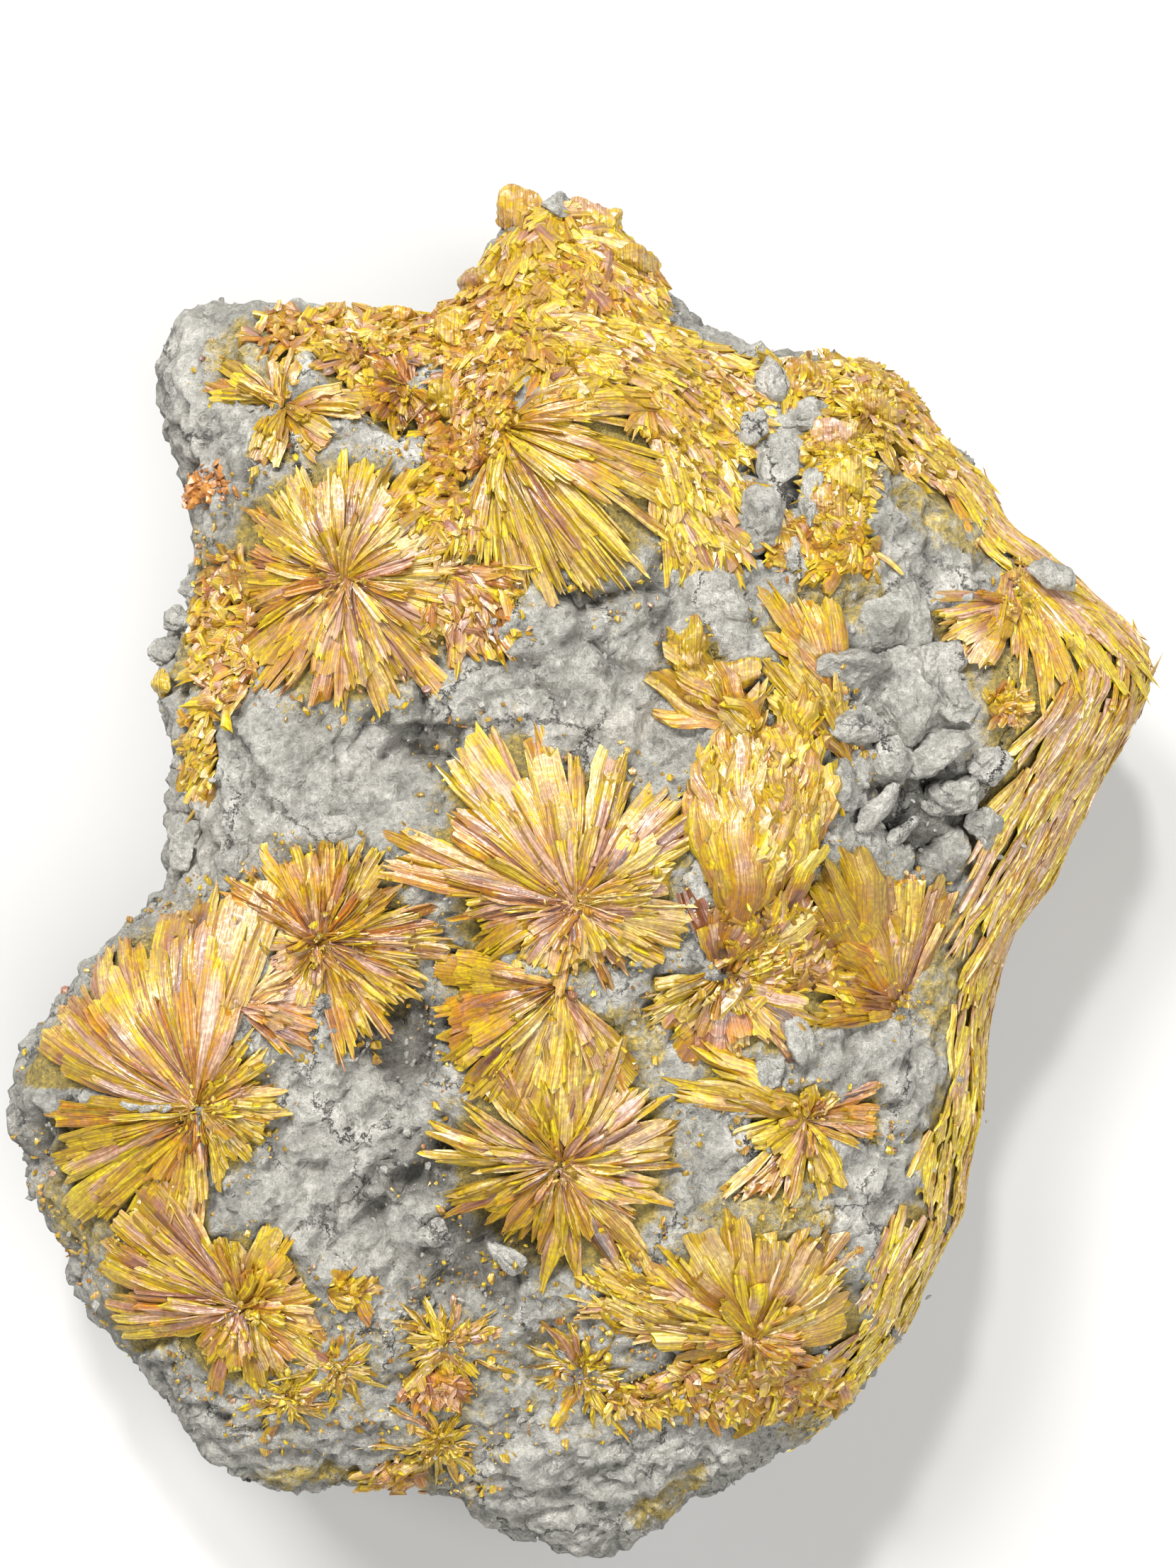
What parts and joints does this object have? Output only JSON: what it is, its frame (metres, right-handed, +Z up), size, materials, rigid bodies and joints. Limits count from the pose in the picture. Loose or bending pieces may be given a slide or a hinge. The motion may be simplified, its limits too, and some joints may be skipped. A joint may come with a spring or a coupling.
{
  "type": "orpiment specimen",
  "caption": "Hand-sized block of grey matrix rock, its display face grown over with radiating sprays of yellow, orange and rose orpiment blades, lying on its back.",
  "frame": {"origin": "on the flat face it rests on, near its middle, below the display face", "axes": "+Z up out of the display face, +Y towards the pointed peak, +X to the right as the display face is seen"},
  "size_m": [0.091, 0.1092, 0.0429],
  "materials": {
    "grey_matrix": "dull, clayey rock",
    "yellow_orpiment": "pearly, striated blades",
    "golden_orpiment": "waxy, crusty blades",
    "rose_orpiment": "pearly, striated blades",
    "orange_realgar": "dull, crumbly grains"
  },
  "bodies": {
    "root": {"matrix": "grey_matrix", "pebble": "grey_matrix", "corner_lump": "grey_matrix", "clay_rod_long": "grey_matrix", "clay_rod_short": "grey_matrix", "knob_star": "yellow_orpiment", "upper_left_rosette": "yellow_orpiment", "peak_fan": "yellow_orpiment", "right_star": "yellow_orpiment", "twin_rosettes": "yellow_orpiment", "middle_rosette": "yellow_orpiment", "lower_rosette": "yellow_orpiment", "right_small_rosette": "yellow_orpiment", "shoulder_fan": "yellow_orpiment", "ledge_feathers": "yellow_orpiment", "top_right_crest": "yellow_orpiment", "bright_clump": "yellow_orpiment", "edge_nodule": "yellow_orpiment", "left_streak": "yellow_orpiment", "right_crust": "yellow_orpiment", "lower_right_crust": "yellow_orpiment", "crest_fans": "golden_orpiment", "band_blades": "golden_orpiment", "lower_right_fan": "golden_orpiment", "pink_wing_rosette": "rose_orpiment", "left_fan": "rose_orpiment", "central_rosettes": "rose_orpiment", "realgar_specks": "orange_realgar"}
  },
  "joints": []
}
